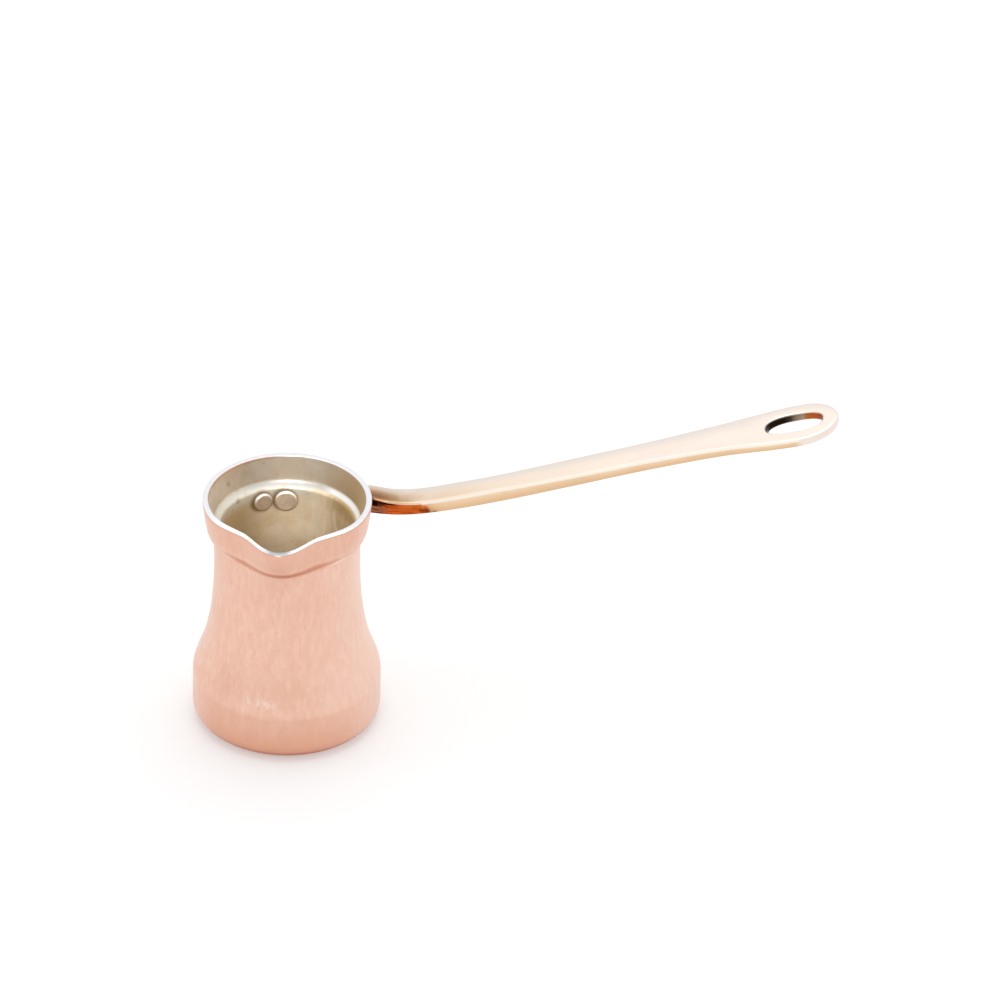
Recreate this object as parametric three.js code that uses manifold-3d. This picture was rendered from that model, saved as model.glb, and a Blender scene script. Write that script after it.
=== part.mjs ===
// A small copper cezve, the long-handled pot in which Turkish coffee is boiled.
// Millimetres, +Z up. The origin is on the pot's axis, in the plane of its base.
// The handle runs along +X and the pouring lip faces -Y.
// The pot is one raised copper shell with a tin lining, and a cast bronze handle is held to the
// back of its neck by two rivets.
import * as THREE from "three";
import { mergeVertices } from "three/addons/utils/BufferGeometryUtils.js";
import Module from "manifold-3d";

const wasm = await Module();
wasm.setup();

// Pot: an upright drum, a long shoulder, a narrow neck and a flared collar.
const potHeight = 80.5;
const drumRadius = 30;
const baseCorner = 5.5;
const drumTop = 16.5;
const neckRadius = 23.2;
const neckLength = 10.2; // its upright wall, down from the crease under the collar
const drumEase = 0.145; // share of the shoulder over which it still follows the drum's wall
const neckEase = 0.75; // share of the shoulder over which it already bends into the neck's wall
const collarDepth = 12.3; // from the rim down to the crease under the collar
const collarStep = 3.9; // height over which the collar steps out from the neck
const stepOut = 2.3; // how far it steps out
const stepPull = 2.2; // how far that step's curve follows the upright walls above and below it
const collarFlare = 1.35; // how far the collar widens from its step to the rim
const collarSwell = 0.15; // how far the collar's wall bows out between its step and the rim

// Metal of the pot. The tin is drawn thicker than a wiped lining, so that it is a solid of its own.
const copperWall = 1.6;
const tinWall = 0.35;
const bondGap = 0.05; // between the copper and its lining
const rimBevel = 0.3;
const tinBevel = 0.15;

// Pouring lip, pinched out of the collar.
const lipReach = 5.5; // how far the lip's tip stands out past the round rim
const lipHalfWidth = 12;
const lipBluntness = 0.8; // below 1 rounds the tip
const lipDrop = 12; // how far below the crease the lip starts to leave the neck
const lipTurn = 1.3; // degrees from -Y towards +X
const flankDraw = 1.6; // how far the rim is drawn in on each side of the lip
const flankMiddle = 14.5; // from the lip's middle
const flankHalfWidth = 10.5;

// Handle: a strap round the back of the neck that becomes a bar and ends in a flat, holed blade.
const strapHeight = 6.2;
const strapThickness = 3.2;
const strapTuck = 0.9; // how far its rounded upper edge tucks up under the collar
const strapEndMargin = 9.5; // degrees of strap past the last rivet
const seatGap = 0.15; // between the strap and the neck, and under each rivet head
const handleReach = 171.7; // from the pot's axis to the handle's tip
const tipLength = 12; // length of the rounded end
const edgeRadius = 0.8;
const holeLength = 18;
const holeWidth = 9.8;
const holeMargin = 5; // from the hole's end to the handle's tip
const holeFullness = 2.5; // 2 is an ellipse, more is squarer

// The bar in stations along its run, as shares of that run from where it leaves the strap: how far
// its middle has risen above the strap's, its width across and its thickness.
const barStations = [
  { at: 0.05, rise: 0, width: 3.9, thickness: 6.2 },
  { at: 0.128, rise: 0.1, width: 7.1, thickness: 6.4 },
  { at: 0.18, rise: -0.5, width: 8.2, thickness: 5.2 },
  { at: 0.227, rise: 0.35, width: 9, thickness: 4.6 },
  { at: 0.29, rise: 3, width: 9.3, thickness: 4.7 },
  { at: 0.383, rise: 7.7, width: 9.4, thickness: 4.7 },
  { at: 0.511, rise: 15.1, width: 10.9, thickness: 4.05 },
  { at: 0.65, rise: 23.2, width: 11.8, thickness: 3.65 },
  { at: 0.79, rise: 31.3, width: 15.2, thickness: 3.2 },
  { at: 0.894, rise: 36.8, width: 20.2, thickness: 2.95 },
  { at: 1, rise: 42.1, width: 21.8, thickness: 2.8 },
];

// Rivets, from the handle's bar on: where each lies round the neck in degrees from +X, how far it sits
// above the strap's middle, and the radius of its head inside the pot. Set by hand, they differ.
const rivetPlaces = [
  { azimuth: 97.7, above: 0.4, headRadius: 3.55 },
  { azimuth: 118.5, above: 0.7, headRadius: 3.05 },
];
const shankRadius = 1.6;
const shankClearance = 0.1;
const innerHead = 1.1;
const innerHeadBevel = 0.45;
const outerHeadRadius = 2.3;
const outerHead = 1.4;

// How finely round shapes are cut into flats.
const potSegments = 60;
const outlineStep = 6;
const fewestSteps = 3;
const cornerSteps = 1;
const barSteps = 52;
const endSteps = 7;
const rivetSegments = 24;
const boreSegments = 24;

// Values that follow from the ones above.
const totalWall = copperWall + bondGap + tinWall;
const copperTop = potHeight - tinWall - bondGap;
const collarFoot = potHeight - collarDepth;
const collarRadius = neckRadius + stepOut;
const rimRadius = collarRadius + collarFlare;
const strapLevel = collarFoot + strapTuck - strapHeight / 2;
const strapRadius = neckRadius + seatGap + strapThickness / 2;
const strapEnd = rivetPlaces[rivetPlaces.length - 1].azimuth + strapEndMargin;
const strapLength = strapRadius * THREE.MathUtils.degToRad(strapEnd - 90);

const copper = new THREE.MeshStandardMaterial({ color: 0xe8b49c, roughness: 0.38, metalness: 1 });
const tin = new THREE.MeshStandardMaterial({ color: 0xcfc9bc, roughness: 0.42, metalness: 1 });
const bronze = new THREE.MeshStandardMaterial({ color: 0xe6c49e, roughness: 0.3, metalness: 1 });
const rivetMetal = new THREE.MeshStandardMaterial({ color: 0xd8cbb4, roughness: 0.4, metalness: 1 });

// Turns a closed geometry into a solid that can be cut. Flats that collapse on an axis are left out.
function solidFrom(geometry) {
  const bare = geometry.clone();
  bare.deleteAttribute("normal");
  bare.deleteAttribute("uv");
  const merged = mergeVertices(bare, 1e-4);
  const corners = merged.index.array;
  const triangles = [];
  for (let i = 0; i < corners.length; i += 3) {
    const [a, b, c] = [corners[i], corners[i + 1], corners[i + 2]];
    if (a !== b && b !== c && c !== a) triangles.push(a, b, c);
  }
  return new wasm.Manifold(
    new wasm.Mesh({
      numProp: 3,
      vertProperties: merged.attributes.position.array,
      triVerts: new Uint32Array(triangles),
    }),
  );
}

function geometryFrom(solid) {
  const cut = solid.getMesh();
  const geometry = new THREE.BufferGeometry();
  geometry.setAttribute("position", new THREE.BufferAttribute(cut.vertProperties, 3));
  geometry.setIndex(new THREE.BufferAttribute(cut.triVerts, 1));
  geometry.computeVertexNormals();
  return geometry;
}

function cutAway(geometry, cutters) {
  const left = cutters.reduce((solid, cutter) => solid.subtract(solidFrom(cutter)), solidFrom(geometry));
  return geometryFrom(left);
}

// Moves each vertex of a geometry by a function of its place.
function reshape(geometry, move) {
  const places = geometry.attributes.position;
  const place = new THREE.Vector3();
  for (let i = 0; i < places.count; i++) {
    place.fromBufferAttribute(places, i);
    move(place);
    places.setXYZ(i, place.x, place.y, place.z);
  }
  return geometry;
}

// The pot's outside as radius and height, from the middle of the base up to the rim.
function potOutline() {
  const stepTop = collarFoot + collarStep;
  const neckFoot = collarFoot - neckLength;
  const shoulder = neckFoot - drumTop;
  const outline = new THREE.Path();
  outline.moveTo(0, 0);
  outline.lineTo(drumRadius - baseCorner, 0);
  outline.absarc(drumRadius - baseCorner, baseCorner, baseCorner, -Math.PI / 2, 0);
  outline.lineTo(drumRadius, drumTop);
  outline.bezierCurveTo(
    drumRadius,
    drumTop + drumEase * shoulder,
    neckRadius,
    neckFoot - neckEase * shoulder,
    neckRadius,
    neckFoot,
  );
  outline.lineTo(neckRadius, collarFoot);
  outline.bezierCurveTo(
    neckRadius,
    collarFoot + stepPull,
    collarRadius,
    stepTop - stepPull,
    collarRadius,
    stepTop,
  );
  outline.quadraticCurveTo(
    (collarRadius + rimRadius) / 2 + collarSwell,
    (stepTop + potHeight) / 2,
    rimRadius,
    potHeight,
  );
  const points = [new THREE.Vector2(0, 0)];
  for (const curve of outline.curves) {
    const level = curve.isLineCurve && curve.v1.y === curve.v2.y;
    const fewest = curve.isLineCurve ? 1 : fewestSteps;
    const steps = level ? 1 : Math.max(fewest, Math.round(curve.getLength() / outlineStep));
    points.push(...curve.getPoints(steps).slice(1));
  }
  return points.filter((p, i) => i === 0 || p.distanceTo(points[i - 1]) > 1e-6);
}

// The outline moved into the metal by a depth, square to itself.
function inset(points, depth) {
  return points.map((point, i) => {
    const before = points[Math.max(i - 1, 0)];
    const after = points[Math.min(i + 1, points.length - 1)];
    const along = after.clone().sub(before).normalize();
    return new THREE.Vector2(point.x - depth * along.y, point.y + depth * along.x);
  });
}

// Whether a point inside the metal keeps its depth from the whole outline. A tight curve loses it.
function keepsDepth(point, outline, depth) {
  const nearest = new THREE.Vector3();
  const here = new THREE.Vector3(point.x, point.y, 0);
  return outline.slice(1).every((end, i) => {
    const start = outline[i];
    const edge = new THREE.Line3(new THREE.Vector3(start.x, start.y, 0), new THREE.Vector3(end.x, end.y, 0));
    edge.closestPointToPoint(here, true, nearest);
    return nearest.distanceTo(here) > 0.95 * depth;
  });
}

// Cuts an outline off level at a height, or carries its last flat on up to that height.
function levelAt(points, height) {
  const kept = points.filter((point) => point.y < height - 1e-3);
  const last = kept[kept.length - 1];
  const next = points[kept.length] ?? points[kept.length - 1];
  const from = kept.length < points.length ? last : kept[kept.length - 2];
  const slope = (next.x - from.x) / (next.y - from.y);
  kept.push(new THREE.Vector2(last.x + slope * (height - last.y), height));
  return kept;
}

const outside = potOutline();
const fullInset = inset(outside, totalWall);
const keptRows = outside.map((_, i) => keepsDepth(fullInset[i], outside, totalWall));
const insideAt = (depth) => inset(outside, depth).filter((_, i) => keptRows[i]);

// Spins an outline of radius and height round the upright axis.
function spun(profile, segments) {
  return new THREE.LatheGeometry(profile, segments).rotateX(Math.PI / 2);
}

// A smooth hill of height 1 over the middle, down to 0 at the half width on both sides.
function hill(offset, halfWidth) {
  return (1 + Math.cos(Math.PI * Math.min(Math.abs(offset) / halfWidth, 1))) / 2;
}

// Pinches the pouring lip out of the collar, which draws the rim in on both sides of it. It is drawn
// at -Y and then turned to its place.
function pinchLip(place) {
  if (place.y > 0) return;
  const upward = THREE.MathUtils.smoothstep(place.z, collarFoot - lipDrop, potHeight);
  const outward = lipReach * hill(place.x, lipHalfWidth) ** lipBluntness;
  const inward = flankDraw * hill(Math.abs(place.x) - flankMiddle, flankHalfWidth);
  place.y -= upward * (outward - inward);
}

function potWall(profile) {
  const lipAngle = THREE.MathUtils.degToRad(lipTurn);
  return reshape(spun(profile, potSegments), pinchLip).rotateZ(lipAngle);
}

// The copper shell is a solid pot less its hollow. Both are spun upwards, as the lining is, so that
// the flats of the hollow and of the lining run side by side where the lip bends them.
function bodyGeometry(bores) {
  const outer = levelAt(outside, copperTop - rimBevel);
  const edge = new THREE.Vector2(outer[outer.length - 1].x - rimBevel, copperTop);
  const middle = new THREE.Vector2(0, copperTop);
  const aboveRim = copperTop + rimBevel;
  const hollow = [...levelAt(insideAt(copperWall), aboveRim), new THREE.Vector2(0, aboveRim)];
  return cutAway(potWall([...outer, edge, middle]), [potWall(hollow), ...bores]);
}

function liningProfile() {
  const outer = levelAt(insideAt(copperWall + bondGap), copperTop + bondGap);
  const copperEdge = levelAt(outside, copperTop - rimBevel).pop().x - rimBevel;
  const inner = levelAt(insideAt(totalWall), potHeight - tinBevel);
  const lid = [
    new THREE.Vector2(copperEdge, copperTop + bondGap),
    new THREE.Vector2(copperEdge, potHeight - tinBevel),
    new THREE.Vector2(copperEdge - tinBevel, potHeight),
    new THREE.Vector2(inner[inner.length - 1].x + tinBevel, potHeight),
  ];
  return [...outer, ...lid, ...inner.reverse()];
}

// A rounded square of side 1, whose corners become true quarter rounds in handleSection.
function unitSection(corner) {
  const reach = 0.5 - corner;
  const shape = new THREE.Shape();
  shape.absarc(reach, reach, corner, 0, Math.PI / 2);
  shape.absarc(-reach, reach, corner, Math.PI / 2, Math.PI);
  shape.absarc(-reach, -reach, corner, Math.PI, 1.5 * Math.PI);
  shape.absarc(reach, -reach, corner, 1.5 * Math.PI, 2 * Math.PI);
  return shape;
}

// A smooth curve through stations of one size, read at a share of the run.
function sizeAt(stations, share) {
  const last = stations.length - 1;
  const next = Math.min(Math.max(stations.findIndex((s) => s.at > share), 1), last);
  const i = share >= stations[last].at ? last : next;
  const slopeAt = (k) => {
    const [a, b] = [stations[Math.max(k - 1, 0)], stations[Math.min(k + 1, last)]];
    return (b.size - a.size) / (b.at - a.at);
  };
  const [start, end] = [stations[i - 1], stations[i]];
  const span = end.at - start.at;
  const t = Math.min(Math.max((share - start.at) / span, 0), 1);
  const fromStart = (1 + 2 * t) * (1 - t) ** 2 * start.size + t * (1 - t) ** 2 * span * slopeAt(i - 1);
  const fromEnd = t * t * (3 - 2 * t) * end.size + t * t * (t - 1) * span * slopeAt(i);
  return fromStart + fromEnd;
}

const strapStation = { at: 0, rise: 0, width: strapThickness, thickness: strapHeight };
const stations = [strapStation, ...barStations];
const [riseStations, widthStations, thicknessStations] = ["rise", "width", "thickness"].map((kind) =>
  stations.map((station) => ({ at: station.at, size: station[kind] })),
);

// The middle line of the handle at a distance along it: where it is, which way it runs, and the
// way up across it. Negative distances lie on the strap, and the rest is the bar's reach along +X.
function spine(distance) {
  if (distance < 0) {
    const angle = Math.PI / 2 - distance / strapRadius;
    const outward = new THREE.Vector3(Math.cos(angle), Math.sin(angle), 0);
    const centre = outward.clone().multiplyScalar(strapRadius).setZ(strapLevel);
    return { centre, outward, up: new THREE.Vector3(0, 0, 1) };
  }
  const riseAt = (reach) => sizeAt(riseStations, reach / handleReach);
  const slope = (riseAt(distance + 1) - riseAt(distance - 1)) / 2;
  return {
    centre: new THREE.Vector3(distance, strapRadius, strapLevel + riseAt(distance)),
    outward: new THREE.Vector3(0, 1, 0),
    up: new THREE.Vector3(-slope, 0, 1).normalize(),
  };
}

// Where the cross-section of a step lies, with close steps round both ends.
function stepDistance(step) {
  const strapRound = strapHeight / 2;
  const nearEnd = Math.PI / 2 - 0.06;
  if (step <= endSteps) return -strapLength + strapRound * (1 - Math.cos((nearEnd * step) / endSteps));
  if (step >= endSteps + barSteps) {
    const turn = (nearEnd * (step - endSteps - barSteps)) / endSteps;
    return handleReach - tipLength * (1 - Math.sin(turn));
  }
  const start = -strapLength + strapRound * (1 - Math.cos(nearEnd));
  return THREE.MathUtils.lerp(start, handleReach - tipLength, (step - endSteps) / barSteps);
}

// Width across, thickness and corner radius of the handle at a distance along it.
function handleSection(distance) {
  const share = Math.max(distance, 0) / handleReach;
  const strapRound = strapHeight / 2;
  const intoStrap = Math.min(Math.max((distance + strapLength) / strapRound, 0.05), 1);
  const intoTip = Math.max((distance - handleReach + tipLength) / tipLength, 0);
  const width = sizeAt(widthStations, share) * Math.sqrt(Math.max(1 - intoTip ** 2, 0.002));
  const thickness = sizeAt(thicknessStations, share) * Math.sqrt(1 - (1 - intoStrap) ** 2);
  return { width, thickness, corner: Math.min(edgeRadius, 0.45 * width, 0.45 * thickness) };
}

function oval(length, width, fullness, segments) {
  const points = [];
  for (let i = 0; i < segments; i++) {
    const angle = (2 * Math.PI * i) / segments;
    const across = (value) => Math.sign(value) * Math.abs(value) ** (2 / fullness);
    points.push(
      new THREE.Vector2((length / 2) * across(Math.cos(angle)), (width / 2) * across(Math.sin(angle))),
    );
  }
  return new THREE.Shape(points);
}

// The oval hole that the cezve hangs by, as the solid that cuts it, square to the blade.
function hangHole() {
  const depth = 12;
  const { up } = spine(handleReach - holeMargin - holeLength / 2);
  const { centre } = spine(handleReach - holeMargin - (holeLength / 2) * up.z);
  const shape = oval(holeLength, holeWidth, holeFullness, 2 * boreSegments);
  const cutter = new THREE.ExtrudeGeometry(shape, { depth, bevelEnabled: false });
  cutter.translate(0, 0, -depth / 2).rotateY(Math.atan2(up.x, up.z));
  return cutter.translate(centre.x, centre.y, centre.z);
}

function handleGeometry() {
  const corner = 0.25;
  const steps = barSteps + 2 * endSteps;
  const bar = new THREE.ExtrudeGeometry(unitSection(corner), {
    depth: 1,
    steps,
    curveSegments: cornerSteps,
    bevelEnabled: false,
  });
  reshape(bar, (place) => {
    const distance = stepDistance(Math.round(place.z * steps));
    const { centre, outward, up } = spine(distance);
    const section = handleSection(distance);
    const spread = (value, size) => {
      const side = Math.sign(value);
      const past = (Math.abs(value) - 0.5 + corner) / corner;
      return side * (size / 2 - section.corner + past * section.corner);
    };
    const across = spread(place.x, section.width);
    const upward = spread(place.y, section.thickness);
    place.copy(centre).addScaledVector(outward, across).addScaledVector(up, upward);
  });
  return bar;
}

// One bore, from inside the lining out through the strap.
function rivetBore({ azimuth, above }) {
  const from = neckRadius - totalWall - 2;
  const to = neckRadius + seatGap + strapThickness + 2;
  const bore = new THREE.CylinderGeometry(
    shankRadius + shankClearance,
    shankRadius + shankClearance,
    to - from,
    boreSegments,
  );
  return bore
    .rotateZ(-Math.PI / 2)
    .translate((from + to) / 2, 0, 0)
    .rotateZ(THREE.MathUtils.degToRad(azimuth))
    .translate(0, 0, strapLevel + above);
}

// A rivet along +X from the pot's axis: a flat head against the lining, the shank, and a low domed
// head on the strap. The flat head touches the round wall at its sides.
function rivetGeometry({ headRadius }) {
  const innerSeat = Math.sqrt((neckRadius - totalWall) ** 2 - headRadius ** 2) - seatGap;
  const innerFace = innerSeat - innerHead;
  const outerSeat = neckRadius + seatGap + strapThickness + seatGap;
  const dome = new THREE.EllipseCurve(0, outerSeat, outerHeadRadius, outerHead, 0, Math.PI / 2);
  const profile = [
    new THREE.Vector2(0, innerFace),
    new THREE.Vector2(headRadius - innerHeadBevel, innerFace),
    new THREE.Vector2(headRadius, innerFace + innerHeadBevel),
    new THREE.Vector2(headRadius, innerSeat),
    new THREE.Vector2(shankRadius, innerSeat),
    new THREE.Vector2(shankRadius, outerSeat),
    ...dome.getPoints(fewestSteps),
  ];
  profile[profile.length - 1].x = 0;
  return new THREE.LatheGeometry(profile, rivetSegments).rotateZ(-Math.PI / 2);
}

function named(name, geometry, material) {
  const mesh = new THREE.Mesh(geometry, material);
  mesh.name = name;
  return mesh;
}

const cezve = new THREE.Group();
const bores = rivetPlaces.map(rivetBore);

const pot = new THREE.Group();
pot.add(named("body", bodyGeometry(bores), copper));
pot.add(named("tin_lining", cutAway(potWall(liningProfile()), bores), tin));
cezve.add(pot);

cezve.add(named("handle", cutAway(handleGeometry(), [...bores, hangHole()]), bronze));

const rivets = new THREE.Group();
rivets.position.z = strapLevel;
rivetPlaces.forEach((place, i) => {
  const rivet = named(`rivet_${i + 1}`, rivetGeometry(place), rivetMetal);
  rivet.rotation.z = THREE.MathUtils.degToRad(place.azimuth);
  rivet.position.z = place.above;
  rivets.add(rivet);
});
cezve.add(rivets);

export default cezve;
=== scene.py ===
import math

import bmesh
import bpy
from mathutils import Euler, Matrix, Vector, noise
from mathutils.geometry import interpolate_bezier


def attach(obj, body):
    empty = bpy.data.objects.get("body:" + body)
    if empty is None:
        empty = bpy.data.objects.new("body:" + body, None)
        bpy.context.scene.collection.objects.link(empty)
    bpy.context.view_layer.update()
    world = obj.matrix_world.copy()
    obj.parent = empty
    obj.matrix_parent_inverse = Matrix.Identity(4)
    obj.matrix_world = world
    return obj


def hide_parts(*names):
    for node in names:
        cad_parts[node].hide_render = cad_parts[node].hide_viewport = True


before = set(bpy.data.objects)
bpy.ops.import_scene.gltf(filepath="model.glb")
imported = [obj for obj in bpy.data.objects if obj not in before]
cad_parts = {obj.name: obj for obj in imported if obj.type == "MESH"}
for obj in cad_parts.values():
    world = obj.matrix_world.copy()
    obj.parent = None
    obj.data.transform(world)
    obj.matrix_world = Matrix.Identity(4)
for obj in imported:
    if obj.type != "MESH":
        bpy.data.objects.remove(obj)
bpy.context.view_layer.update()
print("model loaded with", len(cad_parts), "nodes")

# Camera, world, lamps and floor
camera = {
    "lens": 324,
    "sensor": 36,
    "place": (0.27315805, -2.35224294, 1.64888660),
    "turn": (56.48638, -0.89382, 5.59186),  # degrees
    "farClip": 12,
}

studio = {
    "fill": 0.68,  # what the world sheds on dull surfaces
    "white": 1.0,  # what the camera and polished metal see round the object
    "floorSize": 12,
    "floorColour": (0.755, 0.76, 0.77, 1),
    "floorLift": 0.37,  # how much the floor is lifted to white, its shadow kept
    "topPlace": (0.05, 0.35, 1.3),
    "topSize": 1.1,
    "topPower": 5.2,
    "topColour": (1, 0.99, 0.97),
    # a narrow beam through the mouth on to the back wall
    "mouthPlace": (0.02, -1.1, 1.06),
    "mouthAim": (0.002, 0.015, 0.068),
    "mouthAngle": 2.4,  # degrees
    "mouthSize": 0.01,
    "mouthPower": 60,
}


def placeCamera(setup):
    lens = bpy.data.cameras.new("camera")
    lens.lens = setup["lens"]
    lens.sensor_width = setup["sensor"]
    lens.clip_end = setup["farClip"]
    holder = bpy.data.objects.new("camera", lens)
    holder.location = setup["place"]
    holder.rotation_euler = Euler([math.radians(angle) for angle in setup["turn"]])
    bpy.context.scene.collection.objects.link(holder)
    bpy.context.scene.camera = holder


def addNode(tree, kind, inputs=None, **settings):
    made = tree.nodes.new("ShaderNode" + kind)
    for name, value in settings.items():
        setattr(made, name, value)
    for name, value in (inputs or {}).items():
        socket = made.inputs[name]
        if isinstance(value, bpy.types.NodeSocket):
            tree.links.new(value, socket)
        else:
            socket.default_value = value
    return made


def calc(tree, operation, *values):
    return addNode(tree, "Math", dict(enumerate(values)), operation=operation).outputs[0]


def seenDirectly(tree):
    # 1 for what the camera sees straight, in a polished surface or through glass
    rays = addNode(tree, "LightPath").outputs
    straight = calc(tree, "MAXIMUM", rays["Is Camera Ray"], rays["Is Glossy Ray"])
    return calc(tree, "MAXIMUM", straight, rays["Is Transmission Ray"])


def lightWorld(setup):
    world = bpy.data.worlds.new("studio")
    world.use_nodes = True
    tree = world.node_tree
    tree.nodes.clear()
    fill = addNode(tree, "Background", {"Color": (1, 1, 1, 1), "Strength": setup["fill"]})
    white = addNode(tree, "Background", {"Color": (1, 1, 1, 1), "Strength": setup["white"]})
    blend = addNode(tree, "MixShader", {0: seenDirectly(tree), 1: fill.outputs[0], 2: white.outputs[0]})
    addNode(tree, "OutputWorld", {"Surface": blend.outputs[0]})
    bpy.context.scene.world = world


def hangLamp(lamp, place, aim):
    holder = bpy.data.objects.new(lamp.name, lamp)
    holder.location = place
    holder.rotation_euler = (Vector(aim) - Vector(place)).to_track_quat("-Z", "Y").to_euler()
    bpy.context.scene.collection.objects.link(holder)


def hangLamps(setup):
    top = bpy.data.lights.new("topBox", "AREA")
    top.shape = "SQUARE"
    top.size = setup["topSize"]
    top.energy = setup["topPower"]
    top.color = setup["topColour"]
    hangLamp(top, setup["topPlace"], (0, 0, 0))
    beam = bpy.data.lights.new("mouthBeam", "SPOT")
    beam.spot_size = math.radians(setup["mouthAngle"])
    beam.spot_blend = 1
    beam.shadow_soft_size = setup["mouthSize"]
    beam.energy = setup["mouthPower"]
    hangLamp(beam, setup["mouthPlace"], setup["mouthAim"])


def layFloor(setup):
    sheet = bmesh.new()
    bmesh.ops.create_grid(sheet, x_segments=1, y_segments=1, size=setup["floorSize"] / 2)
    bmesh.ops.translate(sheet, vec=(0, 0, -0.00005), verts=sheet.verts)
    mesh = bpy.data.meshes.new("floor")
    sheet.to_mesh(mesh)
    sheet.free()
    floor = bpy.data.objects.new("floor", mesh)
    bpy.context.scene.collection.objects.link(floor)
    paper = bpy.data.materials.new("floorPaper")
    paper.use_nodes = True
    tree = paper.node_tree
    tree.nodes.clear()
    lift = calc(tree, "MULTIPLY", seenDirectly(tree), setup["floorLift"])
    dull = addNode(tree, "BsdfDiffuse", {"Color": setup["floorColour"]})
    glow = addNode(tree, "Emission", {"Color": (1, 1, 1, 1), "Strength": lift})
    blend = addNode(tree, "AddShader", {0: dull.outputs[0], 1: glow.outputs[0]})
    addNode(tree, "OutputMaterial", {"Surface": blend.outputs[0]})
    mesh.materials.append(paper)


placeCamera(camera)
lightWorld(studio)
hangLamps(studio)
layFloor(studio)
bpy.context.scene.view_settings.view_transform = "Standard"
print("camera, lamps and floor ready")


# Small helpers for shapes
def ease(value, low, high):
    share = min(max((value - low) / (high - low), 0), 1)
    return share * share * (3 - 2 * share)


def hill(offset, halfWidth):
    return (1 + math.cos(math.pi * min(abs(offset) / halfWidth, 1))) / 2


def bowed(start, leaving, arriving, end, spacing):
    # points of a curve in radius and height
    knots = [Vector((radius, 0, height)) for radius, height in (start, leaving, arriving, end)]
    steps = max(2, round((knots[3] - knots[0]).length / spacing))
    return interpolate_bezier(*knots, steps + 1)


def straight(start, end, spacing):
    a, b = Vector((start[0], 0, start[1])), Vector((end[0], 0, end[1]))
    steps = max(1, round((b - a).length / spacing))
    return [a.lerp(b, i / steps) for i in range(steps + 1)]


def joined(*runs):
    # one chain of points, with the ends that two runs share kept once
    chain = [runs[0][0]]
    for run in runs:
        chain += [point for point in run if (point - chain[-1]).length > 0.01]
    return chain


def shifted(points, depth):
    # the chain moved square to itself, towards its left hand
    moved = []
    for i, point in enumerate(points):
        along = points[min(i + 1, len(points) - 1)] - points[max(i - 1, 0)]
        along.normalize()
        moved.append(point + depth * Vector((-along.z, 0, along.x)))
    return moved


def turned(points, steps):
    # spins a chain of points into a closed shell round the upright axis
    shell = bmesh.new()
    chain = [shell.verts.new(point) for point in points]
    edges = [shell.edges.new(pair) for pair in zip(chain, chain[1:])]
    bmesh.ops.spin(
        shell,
        geom=chain + edges,
        cent=(0, 0, 0),
        axis=(0, 0, 1),
        dvec=(0, 0, 0),
        angle=math.tau,
        steps=steps,
        use_merge=True,
    )
    bmesh.ops.remove_doubles(shell, verts=shell.verts, dist=0.002)
    bmesh.ops.recalc_face_normals(shell, faces=shell.faces)
    return shell


def finishPiece(shape, name, material, node):
    bmesh.ops.scale(shape, vec=(0.001, 0.001, 0.001), verts=shape.verts)
    mesh = bpy.data.meshes.new(name)
    shape.to_mesh(mesh)
    shape.free()
    mesh.shade_smooth()
    mesh.materials.append(material)
    piece = bpy.data.objects.new(name, mesh)
    bpy.context.scene.collection.objects.link(piece)
    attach(piece, "root")
    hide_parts(node)
    mesh.calc_loop_triangles()
    print(name, "made with", len(mesh.loop_triangles), "triangles")
    return piece


# Small helpers for materials
def shown(red, green, blue):
    # a colour as it looks on screen, out of 255
    values = [channel / 255 for channel in (red, green, blue)]
    linear = [v / 12.92 if v <= 0.04045 else ((v + 0.055) / 1.055) ** 2.4 for v in values]
    return (*linear, 1)


def mixColours(tree, amount, first, second):
    inputs = {0: amount, 6: first, 7: second}
    return addNode(tree, "Mix", inputs, data_type="RGBA").outputs[2]


def ranged(tree, value, low, high, start=0.0, end=1.0):
    inputs = {"Value": value, "From Min": low, "From Max": high, "To Min": start, "To Max": end}
    return addNode(tree, "MapRange", inputs, interpolation_type="SMOOTHSTEP").outputs[0]


def newGroup(name, takes, gives):
    group = bpy.data.node_groups.new(name, "ShaderNodeTree")
    for label, kind, value in takes:
        socket = group.interface.new_socket(label, in_out="INPUT", socket_type="NodeSocket" + kind)
        if value is not None:
            socket.default_value = value
    for label, kind in gives:
        group.interface.new_socket(label, in_out="OUTPUT", socket_type="NodeSocket" + kind)
    start = group.nodes.new("NodeGroupInput")
    end = group.nodes.new("NodeGroupOutput")
    return group, start.outputs, end.inputs


def makeHammering():
    # overlapping hammer blows: a dish for each blow and a tone of its own
    takes = [("Vector", "Vector", None), ("Width", "Float", 3.0), ("Length", "Float", 6.0)]
    gives = [("Dish", "Float"), ("Tone", "Float")]
    group, given, out = newGroup("hammering", takes, gives)
    size = addNode(group, "CombineXYZ", {0: given["Width"], 1: given["Width"], 2: given["Length"]})
    inputs = {0: given["Vector"], 1: size.outputs[0]}
    spread = addNode(group, "VectorMath", inputs, operation="DIVIDE").outputs[0]
    sway = addNode(group, "TexNoise", {"Vector": spread, "Scale": 0.6, "Detail": 1.0}).outputs["Color"]
    inputs = {0: sway, 1: (0.7, 0.7, 0.7), 2: spread}
    bent = addNode(group, "VectorMath", inputs, operation="MULTIPLY_ADD").outputs[0]
    cells = addNode(group, "TexVoronoi", {"Vector": bent, "Scale": 1.0, "Randomness": 0.9})
    dish = calc(group, "MULTIPLY", cells.outputs["Distance"], cells.outputs["Distance"])
    tone = addNode(group, "SeparateColor", {0: cells.outputs["Color"]}).outputs[0]
    group.links.new(dish, out["Dish"])
    group.links.new(tone, out["Tone"])
    return group


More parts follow.
